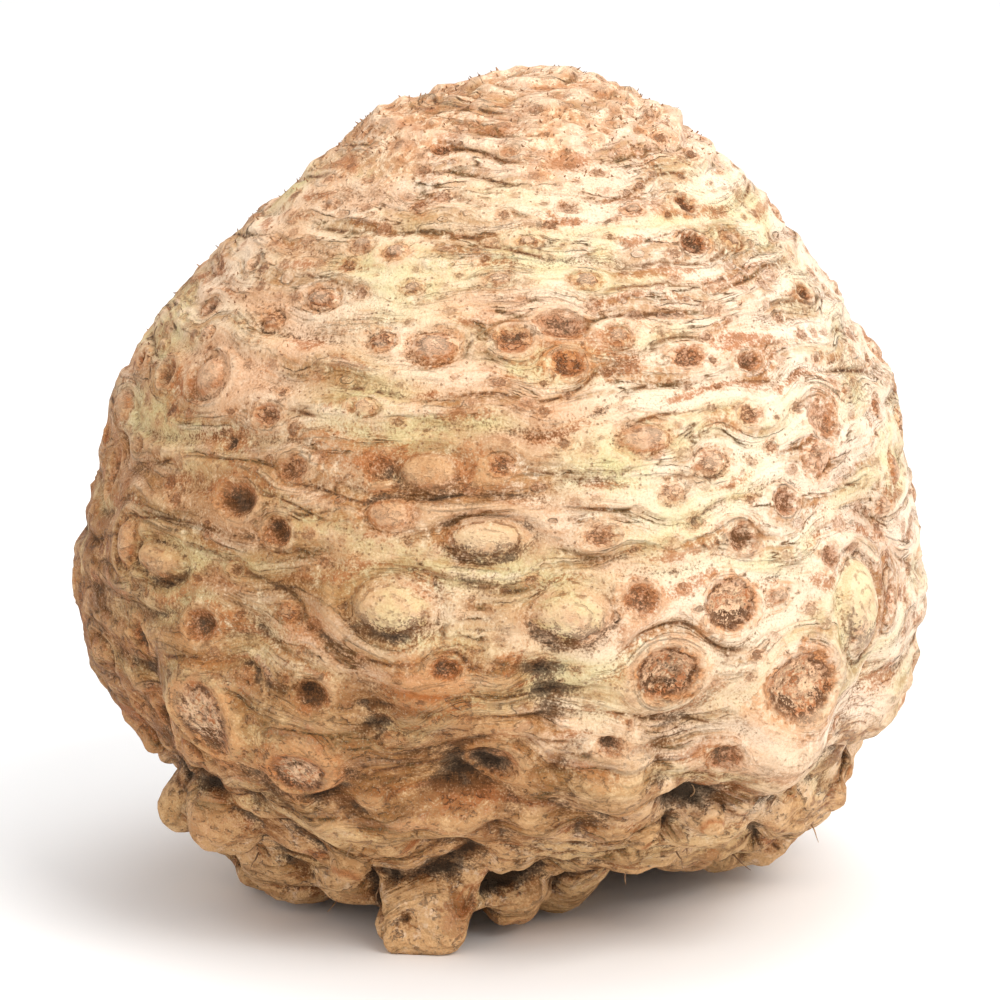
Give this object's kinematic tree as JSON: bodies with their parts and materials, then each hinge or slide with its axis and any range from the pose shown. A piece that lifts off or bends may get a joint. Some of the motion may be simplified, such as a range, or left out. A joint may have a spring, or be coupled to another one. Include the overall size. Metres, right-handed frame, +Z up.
{
  "type": "celeriac",
  "caption": "Whole celeriac with root scars and growth rings round the bulb, a corky crown and trimmed root bases, standing on its cut root ends.",
  "frame": {"origin": "on the resting plane, under the middle of the body's box", "axes": "+Z up through the crown, -Y towards the side that the picture shows, +X to its right"},
  "size_m": [0.131, 0.129, 0.1272],
  "materials": {
    "root_skin": "dull natural root skin, cream and pale green between brown creases and scars"
  },
  "bodies": {
    "root": {"celeriac": "root_skin"}
  },
  "joints": []
}
